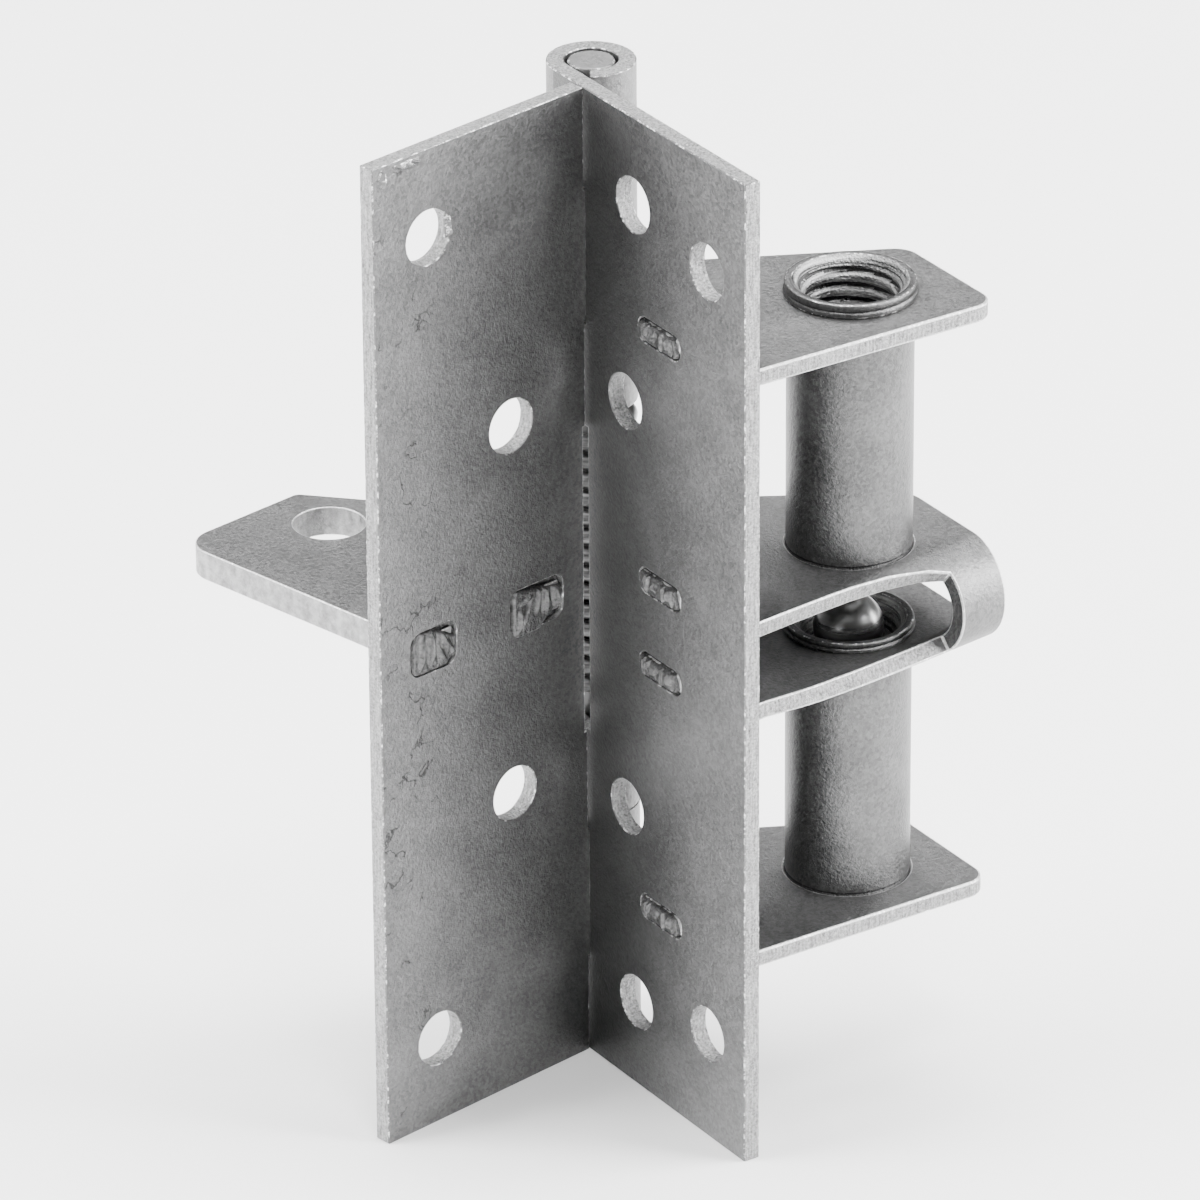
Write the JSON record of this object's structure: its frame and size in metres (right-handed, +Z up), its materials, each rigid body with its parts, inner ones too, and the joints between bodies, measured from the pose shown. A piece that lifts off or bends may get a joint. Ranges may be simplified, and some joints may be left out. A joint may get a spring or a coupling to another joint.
{
  "type": "self-closing concealed hinge",
  "caption": "Spring-closing butt hinge for concealed fitting: swinging leaf with a thick tongue that two sprung balls catch and hold in a folded bracket.",
  "frame": {"origin": "centre of the catch leaf's middle pair of screw holes, in the plane of the leaf's back, which seats on the frame", "axes": "+Z up along the hinge pin, +X along the catch leaf away from the pin, -Y out of the catch leaf's front face"},
  "size_m": [0.0657, 0.0693, 0.12],
  "materials": {
    "leaf_paint": "satin silver-grey sprayed coat, fine grain",
    "bracket_paint": "satin silver-grey sprayed coat, fine grain",
    "tube_paint": "satin silver-grey sprayed coat, fine grain",
    "pin_paint": "satin silver-grey sprayed coat, fine grain",
    "spring_steel": "drawn spring wire",
    "ball_steel": "polished bearing steel",
    "screw_steel": "dark turned steel"
  },
  "bodies": {
    "catch_side": {"catch_leaf": "leaf_paint", "hinge_pin": "pin_paint", "closing_spring": "spring_steel", "top_plate": "bracket_paint", "bottom_plate": "bracket_paint", "u_bracket": "bracket_paint", "upper_tube": "tube_paint", "lower_tube": "tube_paint", "upper_ball_spring": "spring_steel", "lower_ball_spring": "spring_steel", "upper_set_screw": "screw_steel", "lower_set_screw": "screw_steel"},
    "tongue_side": {"tongue_leaf": "leaf_paint", "tongue_plate": "bracket_paint"},
    "upper_catch_ball": {"upper_ball": "ball_steel"},
    "lower_catch_ball": {"lower_ball": "ball_steel"}
  },
  "joints": [
    {"name": "leaf_swing", "type": "hinge", "parent": "catch_side", "child": "tongue_side", "pos_m": [-0.014, 0.003, 0], "axis": [0, 0, -1], "range_deg": [0, 192.1], "stiffness_Nm_per_rad": 0.03, "springref_deg": -45.84, "deforming": ["closing_spring"]},
    {"name": "upper_ball_press", "type": "slide", "parent": "catch_side", "child": "upper_catch_ball", "axis": [0, 0, 1], "range_m": [0, 0.0018], "deforming": ["upper_ball_spring"]},
    {"name": "lower_ball_press", "type": "slide", "parent": "catch_side", "child": "lower_catch_ball", "axis": [0, 0, -1], "range_m": [0, 0.0018], "deforming": ["lower_ball_spring"]}
  ],
  "couplings": [
    {"joint": "upper_ball_press", "follows": "leaf_swing", "m_per_rad": 0.00052},
    {"joint": "lower_ball_press", "follows": "leaf_swing", "m_per_rad": 0.00052}
  ]
}
